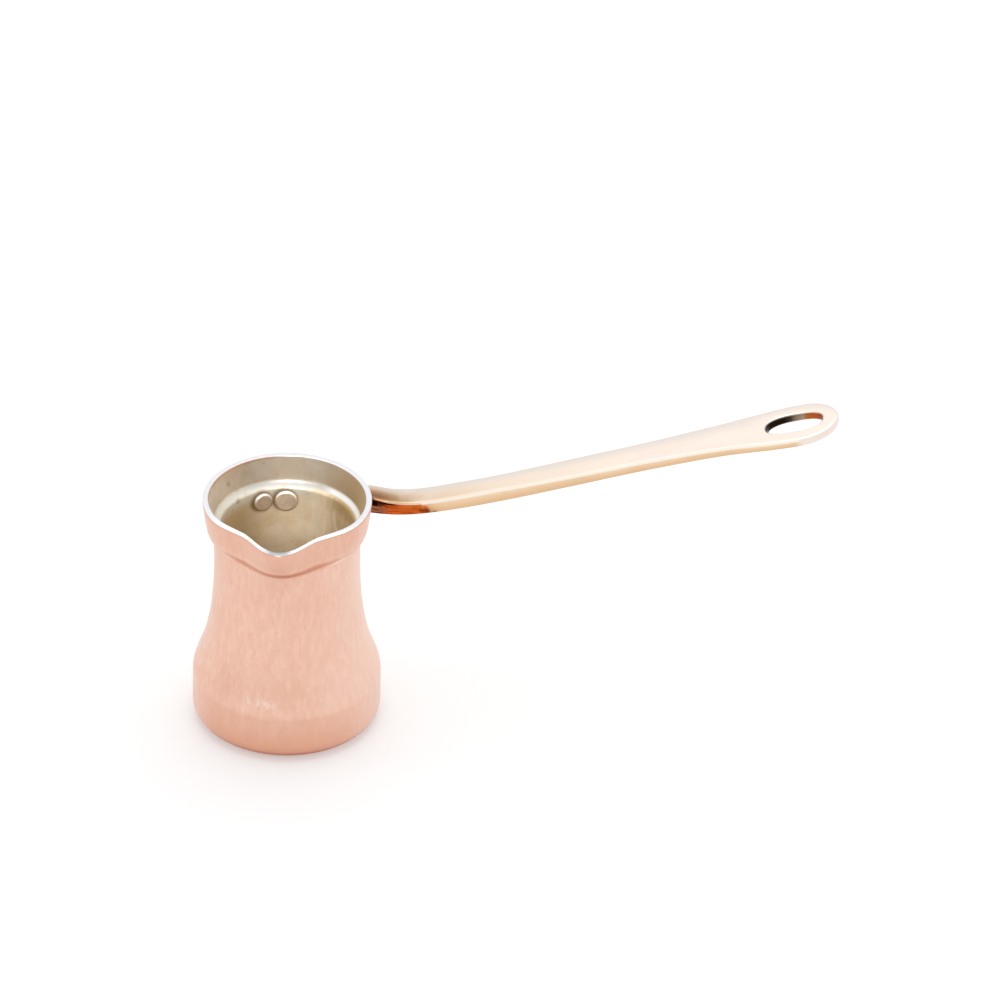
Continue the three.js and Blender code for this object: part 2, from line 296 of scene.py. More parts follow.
def makeGrain():
    # fine brushed or cast grain, drawn out along Z by the stretch
    takes = [("Vector", "Vector", None), ("Size", "Float", 0.5), ("Stretch", "Float", 1.0)]
    group, given, out = newGroup("grain", takes, [("Tone", "Float")])
    tall = calc(group, "MULTIPLY", given["Size"], given["Stretch"])
    size = addNode(group, "CombineXYZ", {0: given["Size"], 1: given["Size"], 2: tall})
    inputs = {0: given["Vector"], 1: size.outputs[0]}
    spread = addNode(group, "VectorMath", inputs, operation="DIVIDE").outputs[0]
    speckle = addNode(group, "TexNoise", {"Vector": spread, "Scale": 1.0, "Detail": 3.0, "Roughness": 0.6})
    group.links.new(speckle.outputs[0], out["Tone"])
    return group


def makePatches():
    # soft patches where a finish has darkened or worn
    takes = [
        ("Vector", "Vector", None),
        ("Size", "Float", 10.0),
        ("Low", "Float", 0.5),
        ("High", "Float", 0.65),
    ]
    group, given, out = newGroup("patches", takes, [("Mask", "Float")])
    size = calc(group, "DIVIDE", 1.0, given["Size"])
    inputs = {0: given["Vector"], "Scale": size}
    spread = addNode(group, "VectorMath", inputs, operation="SCALE").outputs[0]
    cloud = addNode(group, "TexNoise", {"Vector": spread, "Scale": 1.0, "Detail": 4.0, "Distortion": 0.4})
    group.links.new(ranged(group, cloud.outputs[0], given["Low"], given["High"]), out["Mask"])
    return group


hammering = makeHammering()
grain = makeGrain()
patches = makePatches()


def useGroup(tree, group, **values):
    made = tree.nodes.new("ShaderNodeGroup")
    made.node_tree = group
    for name, value in values.items():
        if isinstance(value, bpy.types.NodeSocket):
            tree.links.new(value, made.inputs[name])
        else:
            made.inputs[name].default_value = value
    return made.outputs


def newMaterial(name, metallic=1.0):
    material = bpy.data.materials.new(name)
    material.use_nodes = True
    tree = material.node_tree
    tree.nodes.clear()
    shader = addNode(tree, "BsdfPrincipled", {"Metallic": metallic})
    addNode(tree, "OutputMaterial", {"Surface": shader.outputs[0]})
    place = addNode(tree, "TexCoord").outputs["Object"]
    millimetres = addNode(tree, "Mapping", {"Vector": place, "Scale": (1000, 1000, 1000)})
    return material, tree, shader, millimetres.outputs[0]


def bumped(tree, shader, *reliefs):
    # stacks reliefs of (height, depth in mm)
    below = None
    for height, depth in reliefs:
        inputs = {"Height": height, "Distance": depth / 1000, "Strength": 1.0}
        if below is not None:
            inputs["Normal"] = below
        below = addNode(tree, "Bump", inputs).outputs[0]
    tree.links.new(below, shader.inputs["Normal"])


def roughened(tree, shader, fine, look):
    # roughness that follows the fine grain
    rough = ranged(tree, fine, 0.3, 0.7, look["smoothest"], look["roughest"])
    tree.links.new(rough, shader.inputs["Roughness"])


def near(tree, place, spot, inner, outer, strength=1.0):
    # strongest round a spot, fading out
    away = addNode(tree, "VectorMath", {0: place, 1: spot}, operation="DISTANCE").outputs["Value"]
    return ranged(tree, away, inner, outer, strength, 0.0)


def both(tree, first, second):
    return calc(tree, "MULTIPLY", first, second)


def marked(tree, name):
    return addNode(tree, "Attribute", attribute_name=name).outputs["Fac"]


def colourRun(tree, value, stops):
    # colours along a run, each stop a place and a colour
    first, last = stops[0][0], stops[-1][0]
    share = addNode(tree, "MapRange", {"Value": value, "From Min": first, "From Max": last}).outputs[0]
    ramp = addNode(tree, "ValToRGB", {0: share})
    marks = ramp.color_ramp.elements
    while len(marks) < len(stops):
        marks.new(0.5)
    for mark, (place, colour) in zip(marks, stops):
        mark.position = (place - first) / (last - first)
        mark.color = colour
    return ramp.outputs[0]


# The pot: an upright drum, a long shoulder, a narrow neck and a collar pinched into a pouring lip
pot = {
    "height": 80.5,
    "drumRadius": 30,
    "baseCorner": 5.5,
    "drumTop": 16.5,
    "neckRadius": 23.2,
    "neckFoot": 58,
    "collarFoot": 68.2,
    "collarTop": 72,
    "collarRadius": 25.7,
    # how the wall steps out to the collar, as radius and height: full, and eased behind the neck
    "fullStep": ((24.6, 68.45), (25.5, 69.6)),
    "easedStep": ((23.2, 70.4), (25.5, 69.9), (25.5, 72.1)),
    "easedFrom": (44, 58),  # degrees round the neck
    "easedTo": (152, 166),
    # the step in the lining
    "liningFoot": 67.5,
    "liningStep": ((21.2, 69.8), (21.2, 71.1), (22.9, 71.1), (23.45, 72.4)),
    "liningCollar": (23.75, 73.6),
    "rimRadius": 26.85,
    "baseDish": 0.35,  # hollow of the underside
    "wall": 2.0,  # copper and tin together
    "tin": 0.35,
    "bond": 0.05,
    "turns": 256,
    "fine": 0.8,
    "coarse": 3.2,
    "blowWidth": 3.4,
    "blowLength": 6.5,
    "blowDepth": 0.05,
    "innerBlowDepth": 0.035,
}

lip = {
    "reach": 5.5,
    "halfWidth": 12,
    "bluntness": 0.8,
    "foot": 56.2,
    "turn": 1.3,  # degrees
    "flankDraw": 1.6,
    "flankMiddle": 14.5,
    "flankHalfWidth": 10.5,
}

# The rivets are set out here, because the lining's grime and painted contact shade gather round their
# heads
rivet = {
    # degrees round the neck, height and radius of the head inside the pot
    "places": ((97.7, 66.4, 3.55), (118.5, 66.7, 3.05)),
    "shank": 1.6,
    "seatGap": 0.15,
    "innerHead": 1.1,
    "innerBevel": 0.45,
    "outerSeat": 26.7,
    "outerRadius": 2.3,
    "outerHead": 1.4,
    "grimeAndShadeWidth": 1.5,
    "turns": 48,
}


def lowerWall(spacing):
    # from the middle of the base up to the crease under the collar
    radius, corner, top = pot["drumRadius"], pot["baseCorner"], pot["drumTop"]
    flat = radius - corner
    round90 = 0.5523 * corner
    rise = pot["neckFoot"] - top
    neck = pot["neckRadius"]
    return joined(
        straight((0, 0), (flat, 0), 4),
        bowed((flat, 0), (flat + round90, 0), (radius, corner - round90), (radius, corner), spacing),
        straight((radius, corner), (radius, top), spacing),
        bowed(
            (radius, top),
            (radius, top + 0.145 * rise),
            (neck, pot["neckFoot"] - 0.75 * rise),
            (neck, pot["neckFoot"]),
            spacing,
        ),
        straight((neck, pot["neckFoot"]), (neck, pot["collarFoot"]), spacing),
    )


def plainStep():
    # the gentle step behind the neck, where the handle's strap tucks in under the collar
    return bowed((pot["neckRadius"], pot["collarFoot"]), *pot["easedStep"], 0.3)


def crispStep():
    # the collar's full underside everywhere else
    start = (pot["neckRadius"], pot["collarFoot"])
    return bowed(start, *pot["fullStep"], (pot["collarRadius"], pot["collarTop"]), 0.35)


def collarWall(top, spacing):
    start = (pot["collarRadius"], pot["collarTop"])
    end = (pot["rimRadius"], pot["height"])
    middle = ((start[0] + end[0]) / 2 + 0.15, (start[1] + end[1]) / 2)
    points = bowed(start, (start[0] + 0.35, start[1] + 2), middle, end, spacing)
    return [point for point in points if point.z < top]


def innerWall(spacing):
    # the face of the lining, from the middle of its floor up to the rim
    foot, turns = pot["liningFoot"], pot["liningStep"]
    below = [point for point in shifted(lowerWall(spacing), pot["wall"]) if point.z < foot]
    below[0].x = 0
    neck = pot["neckRadius"] - pot["wall"]
    rim = pot["rimRadius"] - pot["wall"]
    top = pot["height"] - 0.3
    upright = straight((neck, foot), turns[0], spacing)
    step = bowed(*turns, 0.3)
    collar = bowed(turns[-1], pot["liningCollar"], (rim - 0.35, top - 2.4), (rim, top), spacing)
    return joined(below, upright, step, collar)


def pinchLip(shell):
    # drawn at -Y, then turned to its place; the flanks are drawn in beside it
    for vert in shell.verts:
        place = vert.co
        if place.y > 0:
            continue
        upward = ease(place.z, lip["foot"], pot["height"])
        outward = lip["reach"] * hill(place.x, lip["halfWidth"]) ** lip["bluntness"]
        inward = lip["flankDraw"] * hill(abs(place.x) - lip["flankMiddle"], lip["flankHalfWidth"])
        place.y -= upward * (outward - inward)
    turn = Matrix.Rotation(math.radians(lip["turn"]), 3, "Z")
    bmesh.ops.rotate(shell, cent=(0, 0, 0), matrix=turn, verts=shell.verts)


def radiusOnChain(points, height):
    for a, b in zip(points, points[1:]):
        if a.z <= height <= b.z and b.z > a.z:
            return a.lerp(b, (height - a.z) / (b.z - a.z)).x
    return None


def easeOverStrap(shell):
    # brings the collar's underside back to its plain step where the strap runs below it
    plain = plainStep()
    for vert in shell.verts:
        place = vert.co
        radius = math.hypot(place.x, place.y)
        azimuth = math.degrees(math.atan2(place.y, place.x))
        amount = ease(azimuth, *pot["easedFrom"]) * (1 - ease(azimuth, *pot["easedTo"]))
        if amount == 0 or radius < pot["neckRadius"] - 0.1:
            continue
        if not pot["collarFoot"] < place.z < plain[-1].z:
            continue
        wanted = radiusOnChain(plain, place.z)
        if wanted and wanted < radius:
            share = 1 + amount * (wanted / radius - 1)
            place.x *= share
            place.y *= share


def hammerShell(shell, chosen, depth):
    # shallow blows, taller than wide, pressed in towards the axis
    width, length = pot["blowWidth"], pot["blowLength"]
    for vert in shell.verts:
        place = vert.co
        amount = chosen(place)
        if amount <= 0:
            continue
        spot = Vector((place.x / width, place.y / width, place.z / length))
        nearest = noise.voronoi(spot)[0][0]
        push = depth * amount * (min(nearest, 0.9) ** 2 / 0.4 - 1)
        outward = Vector((place.x, place.y, 0)).normalized()
        vert.co = place + push * outward


def outerBlows(place):
    radius = math.hypot(place.x, place.y)
    if radius < 22.6:
        return 0
    low = ease(place.z, 2, 9)
    high = 1 - ease(place.z, 64, 67.5)
    return low * high


def innerBlows(place):
    # kept off the rivet heads' seats
    radius = math.hypot(place.x, place.y)
    azimuth = math.degrees(math.atan2(place.y, place.x))
    seats = ease(azimuth, 80, 87) * (1 - ease(azimuth, 129, 136)) * ease(place.z, 59, 62)
    return ease(radius, 8, 20) * (1 - ease(place.z, 65, 68)) * (1 - seats)


def markWear(shell):
    # grime and painted contact shade round the rivet heads, and copper showing through on the rim's inner
    # edge
    grimeAndShade = shell.verts.layers.float.new("seatGrimeAndShade")
    worn = shell.verts.layers.float.new("wornEdge")
    edge = pot["rimRadius"] - pot["wall"]
    for vert in shell.verts:
        radius = math.hypot(vert.co.x, vert.co.y)
        azimuth = math.degrees(math.atan2(vert.co.y, vert.co.x))
        azimuth += 360 * (azimuth < -90)
        run = ease(azimuth, 95, 112) * (1 - ease(azimuth, 182, 200))
        level = hill(vert.co.z - pot["height"] + 0.14, 0.34)
        vert[worn] = run * level * (abs(radius - edge) < 0.4)
    for azimuth, level, head in rivet["places"]:
        angle = math.radians(azimuth)
        reach = pot["neckRadius"] - pot["wall"]
        middle = Vector((reach * math.cos(angle), reach * math.sin(angle), level))
        for vert in shell.verts:
            closeness = 1 - ease((vert.co - middle).length, head, head + rivet["grimeAndShadeWidth"])
            vert[grimeAndShade] = max(vert[grimeAndShade], closeness)


def makeCopperShell(material):
    top = pot["height"] - pot["tin"] - pot["bond"]
    outside = joined(lowerWall(pot["fine"]), crispStep(), collarWall(top - 0.3, pot["fine"]))
    inside = shifted(innerWall(pot["coarse"]), -(pot["tin"] + pot["bond"]))
    inside[0].x = 0
    inside[-1].z = top
    edge = outside[-1].x
    lid = [Vector((edge - 0.06, 0, top - 0.1)), Vector((edge - 0.25, 0, top))]
    shell = turned([*outside, *lid, *reversed(inside)], pot["turns"])
    for vert in shell.verts:
        if vert.co.z < 0.2:
            reach = math.hypot(vert.co.x, vert.co.y)
            vert.co.z += pot["baseDish"] * (1 - ease(reach, 6, 24))
    hammerShell(shell, outerBlows, pot["blowDepth"])
    easeOverStrap(shell)
    pinchLip(shell)
    return finishPiece(shell, "copper_shell", material, "body")


def makeTinLining(material):
    face = innerWall(pot["fine"])
    back = shifted(innerWall(pot["coarse"]), -pot["tin"])
    top = pot["height"]
    seat = top - pot["tin"]
    back[0].x = 0
    back[-1].z = seat
    edge = pot["rimRadius"] - 0.12
    inner = face[-1].x
    lid = joined(
        bowed((inner, face[-1].z), (inner, top - 0.1), (inner + 0.1, top), (inner + 0.4, top), 0.12),
        straight((inner + 0.4, top), (edge - 0.3, top), 0.4),
        bowed((edge - 0.3, top), (edge - 0.1, top), (edge, top - 0.1), (edge, seat + 0.1), 0.1),
        straight((edge, seat + 0.1), (edge - 0.05, seat), 0.1),
        straight((edge - 0.05, seat), (back[-1].x, seat), 0.8),
    )
    shell = turned(joined(face, lid, list(reversed(back))), pot["turns"])
    hammerShell(shell, innerBlows, pot["innerBlowDepth"])
    markWear(shell)
    pinchLip(shell)
    return finishPiece(shell, "tin_face", material, "tin_lining")


# colours as seen on screen, a place and depths of relief in mm
copperLook = {
    "metal": shown(238, 195, 174),
    "clouds": shown(235, 189, 167),
    "dashes": shown(220, 160, 136),
    "darkStrokes": shown(226, 172, 150),
    "paleStrokes": shown(250, 212, 194),
    "spots": shown(196, 140, 112),
    "litHandleSide": shown(248, 218, 202),
    "stainPlace": (-18.5, -23.0, 26.0),
    "stain": shown(212, 150, 126),
    "collar": shown(224, 168, 142),
    "crease": shown(202, 124, 80),
    "creaseLine": shown(254, 236, 226),
    "lowDrumShade": shown(224, 169, 142),
    "lowestShade": shown(222, 158, 124),
    "foot": shown(196, 104, 58),
    "glints": shown(255, 236, 226),
    "blowRelief": 0.035,
    "markRelief": 0.012,
    "grainRelief": 0.002,
    "smoothest": 0.28,
    "roughest": 0.4,
}


def copperFinish(look):
    material, tree, shader, place = newMaterial("hammeredCopper")
    along, across, height = addNode(tree, "SeparateXYZ", {0: place}).outputs
    blows = useGroup(tree, hammering, Vector=place, Width=2.2, Length=6.0)
    marks = useGroup(tree, hammering, Vector=place, Width=1.1, Length=3.2)
    fine = useGroup(tree, grain, Vector=place, Size=0.35, Stretch=3.0)["Tone"]
    clouds = useGroup(tree, patches, Vector=place, Size=16.0, Low=0.4, High=0.7)["Mask"]
    spots = useGroup(tree, patches, Vector=place, Size=2.6, Low=0.68, High=0.78)["Mask"]
    colour = mixColours(tree, clouds, look["metal"], look["clouds"])
    dashes = ranged(tree, marks["Tone"], 0.2, 1.0, 0.0, 0.16)
    dashes = both(tree, dashes, ranged(tree, marks["Dish"], 0.5, 0.0))
    colour = mixColours(tree, dashes, colour, look["dashes"])
    strokes = useGroup(tree, grain, Vector=place, Size=1.7, Stretch=3.5)["Tone"]
    colour = mixColours(tree, ranged(tree, strokes, 0.4, 0.65, 0.0, 0.2), colour, look["darkStrokes"])
    colour = mixColours(tree, ranged(tree, strokes, 0.5, 0.32, 0.0, 0.25), colour, look["paleStrokes"])
    colour = mixColours(tree, both(tree, spots, 0.25), colour, look["spots"])
    # painted light: paler on the side towards the handle, below the collar
    side = both(tree, ranged(tree, along, 7.0, 27.0, 0.0, 0.35), ranged(tree, height, 68.0, 64.0))
    colour = mixColours(tree, side, colour, look["litHandleSide"])
    stain = near(tree, place, look["stainPlace"], 1.0, 8.0, 0.2)
    colour = mixColours(tree, stain, colour, look["stain"])
    # painted shade on the collar, whose wall faces slightly down, and in the crease under it
    colour = mixColours(tree, ranged(tree, height, 70.5, 73.0, 0.0, 0.4), colour, look["collar"])
    crease = both(tree, ranged(tree, height, 66.6, 68.4), ranged(tree, height, 71.6, 70.0))
    crease = both(tree, crease, ranged(tree, across, -15.0, -22.0, 0.2, 0.8))
    colour = mixColours(tree, crease, colour, look["crease"])
    # painted highlight along the crease at the sides
    line = both(tree, ranged(tree, height, 66.9, 67.6), ranged(tree, height, 69.2, 68.6))
    line = both(tree, line, ranged(tree, across, -18.5, -13.0, 0.0, 0.9))
    line = both(tree, line, ranged(tree, across, 8.0, 0.0))
    colour = mixColours(tree, line, colour, look["creaseLine"])
    # painted shade, as of the shadowed floor reflected low on the drum: deeper towards the foot, most of
    # all in front, and darkest in a thin line at the foot
    shadedFront = ranged(tree, across, -12.0, -27.0, 0.15, 1.0)
    low = ranged(tree, height, 17.0, 15.2, 0.0, 0.4)
    colour = mixColours(tree, both(tree, low, shadedFront), colour, look["lowDrumShade"])
    low = ranged(tree, height, 15.5, 1.0, 0.0, 0.6)
    colour = mixColours(tree, both(tree, low, shadedFront), colour, look["lowestShade"])
    foot = ranged(tree, height, 3.5, 2.1, 0.0, 0.85)
    colour = mixColours(tree, foot, colour, look["foot"])
    # a few painted glints at the drum's shoulder
    glints = useGroup(tree, grain, Vector=place, Size=1.8, Stretch=1.4)["Tone"]
    glints = ranged(tree, glints, 0.44, 0.62)
    aside = calc(tree, "ABSOLUTE", calc(tree, "ADD", along, 4.7))
    above = calc(tree, "ABSOLUTE", calc(tree, "SUBTRACT", height, 20.9))
    glints = both(tree, glints, both(tree, ranged(tree, aside, 6.6, 3.0), ranged(tree, above, 2.0, 0.4)))
    glints = both(tree, glints, ranged(tree, across, -20.0, -24.0, 0.0, 0.38))
    colour = mixColours(tree, glints, colour, look["glints"])
    tree.links.new(colour, shader.inputs["Base Color"])
    shader.inputs["Sheen Weight"].default_value = 0.25
    shader.inputs["Sheen Roughness"].default_value = 0.45
    roughened(tree, shader, fine, look)
    blowing = blows["Dish"], look["blowRelief"]
    marking = marks["Dish"], look["markRelief"]
    bumped(tree, shader, blowing, marking, (fine, look["grainRelief"]))
    return material


# colours as seen on screen, places and depths of relief in mm
tinLook = {
    "neck": shown(252, 236, 208),
    "neckStains": shown(238, 216, 180),
    "blows": shown(240, 228, 206),
    # painted shade
    "aside": shown(196, 168, 120),  # away from the middle of the back wall
    "deepShade": shown(196, 170, 126),
    "runs": shown(250, 236, 206),
    "edging": shown(176, 148, 98),  # under the step, below the handle
    "greyed": shown(226, 220, 205),  # under the step, across from the handle
    "collar": shown(234, 226, 213),
    "collarStains": shown(226, 215, 199),
    "browned": shown(194, 170, 130),
    "step": shown(196, 192, 186),
    "stepAtHandle": shown(240, 239, 236),
    "spots": shown(160, 132, 100),
    "spotPlace": (-20.5, 13.1, 75.9),
    "spot": shown(140, 98, 72),
    "dentPlace": (-15.9, 14.0, 69.8),
    "dent": shown(248, 240, 224),
    "dentFarSide": (-17.1, 12.5, 70.0),
    "dentShade": shown(130, 108, 80),
    "grimeAndShade": shown(120, 88, 44),
    "rim": shown(226, 226, 229),
    "rimHighlightInFront": shown(246, 246, 248),
    "pourPlace": (0.7, -31.0, 80.5),
    "pourShade": shown(158, 163, 164),
    "copperShowing": shown(190, 130, 94),
    "blowRelief": 0.04,
    "grainRelief": 0.006,
    "smoothest": 0.3,
    "roughest": 0.44,
}


def tinFinish(look):
    material, tree, shader, place = newMaterial("wipedTin")
    along, across, height = addNode(tree, "SeparateXYZ", {0: place}).outputs
    blows = useGroup(tree, hammering, Vector=place, Width=2.0, Length=4.5)
    runs = useGroup(tree, hammering, Vector=place, Width=1.3, Length=7.0)["Tone"]
    fine = useGroup(tree, grain, Vector=place, Size=0.4, Stretch=2.0)["Tone"]
    stains = useGroup(tree, patches, Vector=place, Size=7.0, Low=0.42, High=0.62)["Mask"]
    spots = useGroup(tree, patches, Vector=place, Size=1.8, Low=0.66, High=0.74)["Mask"]
    # below the collar: yellowed, with paler runs on the side under the handle
    neckColour = mixColours(tree, stains, look["neck"], look["neckStains"])
    tone = ranged(tree, blows["Tone"], 0.0, 1.0, 0.0, 0.45)
    neckColour = mixColours(tree, tone, neckColour, look["blows"])
    # painted shade, stronger away from the middle of the back wall and deeper down
    aside = calc(tree, "ABSOLUTE", calc(tree, "SUBTRACT", along, 0.4))
    insideShade = ranged(tree, aside, 4.5, 17.0, 0.0, 0.75)
    neckColour = mixColours(tree, insideShade, neckColour, look["aside"])
    insideShade = ranged(tree, height, 57.0, 48.0, 0.0, 0.4)
    neckColour = mixColours(tree, insideShade, neckColour, look["deepShade"])
    streak = both(tree, ranged(tree, runs, 0.5, 0.9), ranged(tree, along, 1.0, 7.0, 0.0, 0.55))
    streak = both(tree, streak, ranged(tree, along, 18.5, 14.0))
    streak = both(tree, streak, ranged(tree, height, 12.0, 30.0))
    neckColour = mixColours(tree, streak, neckColour, look["runs"])
    edging = both(tree, ranged(tree, height, 64.0, 68.0), ranged(tree, along, 8.0, 17.0, 0.0, 0.7))
    neckColour = mixColours(tree, edging, neckColour, look["edging"])
    greyed = both(tree, ranged(tree, height, 65.8, 69.6), ranged(tree, along, 9.0, 3.0))
    neckColour = mixColours(tree, greyed, neckColour, look["greyed"])
    collarColour = mixColours(tree, stains, look["collar"], look["collarStains"])
    browned = ranged(tree, along, 6.0, 22.0, 0.0, 0.9)
    collarColour = mixColours(tree, browned, collarColour, look["browned"])
    colour = mixColours(tree, ranged(tree, height, 71.6, 72.7), neckColour, collarColour)
    band = both(tree, ranged(tree, height, 70.7, 71.4), ranged(tree, height, 72.6, 72.0))
    band = both(tree, band, ranged(tree, along, -21.0, -11.0, 0.1, 1.0))
    toHandle = ranged(tree, along, 8.0, 13.0)
    bandColour = mixColours(tree, toHandle, look["step"], look["stepAtHandle"])
    colour = mixColours(tree, band, colour, bandColour)
    colour = mixColours(tree, both(tree, spots, 0.35), colour, look["spots"])
    spot = near(tree, place, look["spotPlace"], 0.2, 1.5, 0.4)
    colour = mixColours(tree, spot, colour, look["spot"])
    # an old dent beside the rivets, shown only in colour: a painted highlight, with painted shade on its
    # far side
    dent = near(tree, place, look["dentPlace"], 0.8, 2.3, 0.35)
    colour = mixColours(tree, dent, colour, look["dent"])
    dent = near(tree, place, look["dentFarSide"], 0.2, 1.4, 0.5)
    colour = mixColours(tree, dent, colour, look["dentShade"])
    # grime and painted contact shade round the rivet heads
    grimeAndShade = both(tree, marked(tree, "seatGrimeAndShade"), 0.8)
    colour = mixColours(tree, grimeAndShade, colour, look["grimeAndShade"])
    rimShare = ranged(tree, height, 80.15, 80.4)
    # a painted highlight on the rim towards the lip
    toLip = ranged(tree, across, -10.0, -22.0)
    rimColour = mixColours(tree, toLip, look["rim"], look["rimHighlightInFront"])
    colour = mixColours(tree, rimShare, colour, rimColour)
    # painted shade on the rim where the lip dips to pour
    pourShadeShare = both(tree, rimShare, near(tree, place, look["pourPlace"], 1.8, 5.8, 0.85))
    colour = mixColours(tree, pourShadeShare, colour, look["pourShade"])
    worn = both(tree, marked(tree, "wornEdge"), 0.85)
    colour = mixColours(tree, worn, colour, look["copperShowing"])
    tree.links.new(colour, shader.inputs["Base Color"])
    metal = ranged(tree, height, 69.5, 72.5, 0.3, 0.8)
    tree.links.new(calc(tree, "MAXIMUM", metal, rimShare), shader.inputs["Metallic"])
    roughened(tree, shader, fine, look)
    bumped(tree, shader, (blows["Dish"], look["blowRelief"]), (fine, look["grainRelief"]))
    return material


makeCopperShell(copperFinish(copperLook))
makeTinLining(tinFinish(tinLook))

# The handle: a strap round the back of the neck, a rising bar and a flat blade with a hanging hole
handle = {
    "reach": 171.7,
    "strapRadius": 24.95,
    "strapLevel": 66,
    "strapEnd": 128,  # degrees round the neck
    "strapRound": 3.0,
    "tipLength": 12,
    "bladeStart": 137,
    "sideSteps": 40,
    "tipSteps": 60,
    "holeSteps": 120,
    "halfPoints": 31,
    "rowLength": 1.6,
    "edgeRadius": 0.8,
    "edgeSteps": 4,
    "support": 0.9,  # where the flats stop short of the rounded edges
    "holeMiddle": 158.05,
    "holeLength": 17.3,
    "holeWidth": 9.8,
    "holeFullness": 2.5,
    # share of the reach, rise, width and thickness
    "stations": [
        (0, 0, 3.2, 6.2),
        (0.05, 0, 3.9, 6.2),
        (0.128, 0.1, 7.1, 6.4),
        (0.18, -0.5, 8.2, 5.2),
        (0.227, 0.35, 9, 4.6),
        (0.29, 3, 9.3, 4.7),
        (0.383, 7.7, 9.4, 4.7),
        (0.511, 15.1, 10.9, 4.05),
        (0.65, 23.2, 11.8, 3.65),
        (0.79, 31.3, 15.2, 3.2),
        (0.894, 36.8, 20.2, 2.95),
        (1, 42.1, 21.8, 2.8),
    ],
}


def barSize(which, distance):
    # 1 is the rise, 2 the width and 3 the thickness, on a smooth curve through the stations
    rows = handle["stations"]
    last = len(rows) - 1
    share = min(max(distance / handle["reach"], 0), 1)
    after = next((i for i, row in enumerate(rows) if row[0] > share), last)
    after = max(after, 1)

    def slope(i):
        a, b = rows[max(i - 1, 0)], rows[min(i + 1, last)]
        return (b[which] - a[which]) / (b[0] - a[0])

    a, b = rows[after - 1], rows[after]
    span = b[0] - a[0]
    t = (share - a[0]) / span
    fromStart = (1 + 2 * t) * (1 - t) ** 2 * a[which] + t * (1 - t) ** 2 * span * slope(after - 1)
    fromEnd = t * t * (3 - 2 * t) * b[which] + t * t * (t - 1) * span * slope(after)
    return fromStart + fromEnd


def evenly(points, count):
    # the same line in equal steps
    marks = [0]
    for a, b in zip(points, points[1:]):
        marks.append(marks[-1] + (b - a).length)
    spaced = []
    i = 0
    for step in range(count + 1):
        mark = marks[-1] * step / count
        while i < len(points) - 2 and marks[i + 1] < mark:
            i += 1
        share = (mark - marks[i]) / (marks[i + 1] - marks[i])
        spaced.append(points[i].lerp(points[i + 1], share))
    return spaced


def halfBlade():
    # one side of the blade, from its shoulder to the middle of the tip
    bendStart = handle["reach"] - handle["tipLength"]
    line = []
    for i in range(handle["sideSteps"]):
        distance = handle["bladeStart"] + (bendStart - handle["bladeStart"]) * i / handle["sideSteps"]
        line.append(Vector((distance, barSize(2, distance) / 2, 0)))
    for i in range(handle["tipSteps"] + 1):
        into = math.sin(math.pi / 2 * i / handle["tipSteps"])
        distance = bendStart + handle["tipLength"] * into
        line.append(Vector((distance, barSize(2, distance) / 2 * math.sqrt(1 - into**2), 0)))
    return evenly(line, handle["halfPoints"])


def halfHole(count):
    # one side of the hole, from its end towards the pot to its far end
    power = 2 / handle["holeFullness"]
    line = []
    for i in range(handle["holeSteps"] + 1):
        angle = math.pi * i / handle["holeSteps"]
        along = -math.copysign(abs(math.cos(angle)) ** power, math.cos(angle)) * handle["holeLength"] / 2
        across = abs(math.sin(angle)) ** power * handle["holeWidth"] / 2
        line.append(Vector((handle["holeMiddle"] + along, across, 0)))
    return evenly(line, count)


def holeShare(place):
    # 1 on the hole's outline, more outside it
    power = handle["holeFullness"]
    along = abs(place.x - handle["holeMiddle"]) / (handle["holeLength"] / 2)
    across = abs(place.y) / (handle["holeWidth"] / 2)
    return (along**power + across**power) ** (1 / power)


def bladeSheet(flat):
    # a ring of faces from the blade's outline to its hole, still flat
    side = halfBlade()
    outline = [Vector((handle["bladeStart"], 0, 0)), *side]
    outline += [Vector((point.x, -point.y, 0)) for point in reversed(side[:-1])]
    ring = bmesh.ops.create_circle(flat, cap_ends=True, segments=len(outline), radius=1)["verts"]
    for vert, point in zip(ring, outline):
        vert.co = point
    cap = flat.faces[:][0]
    bmesh.ops.inset_individual(flat, faces=[cap], thickness=0.5)
    hole = halfHole(len(side))
    hole += [Vector((point.x, -point.y, 0)) for point in reversed(hole[1:-1])]
    wanted = dict(zip(ring, hole))
    for vert in cap.verts:
        partner = next(e.other_vert(vert) for e in vert.link_edges if e.other_vert(vert) in wanted)
        vert.co = wanted[partner]
    bmesh.ops.delete(flat, geom=[cap], context="FACES_ONLY")
    return ring[1], ring[0], ring[-1]


def drawOutBar(flat, corner, centre, otherCorner):
    # rows of faces from the blade back to the strap's end
    strapLength = handle["strapRadius"] * math.radians(handle["strapEnd"] - 90)
    endRow = -strapLength + handle["strapRound"] + 0.15
    steps = round((handle["bladeStart"] - endRow) / handle["rowLength"])
    reach = endRow - handle["bladeStart"]
    stops = [handle["bladeStart"] + reach * i / steps for i in range(1, steps + 1)]
    stops.append(-strapLength)
    verts = {corner, centre, otherCorner}
    row = [e for e in flat.edges if set(e.verts) <= verts]
    for distance in stops:
        made = bmesh.ops.extrude_edge_only(flat, edges=row)["geom"]
        new = {part for part in made if isinstance(part, bmesh.types.BMVert)}
        row = [part for part in made if isinstance(part, bmesh.types.BMEdge) and set(part.verts) <= new]
        for vert in new:
            side = (vert.co.y > 0.01) - (vert.co.y < -0.01)
            vert.co = Vector((distance, side * barSize(2, distance) / 2, 0))
    return -strapLength


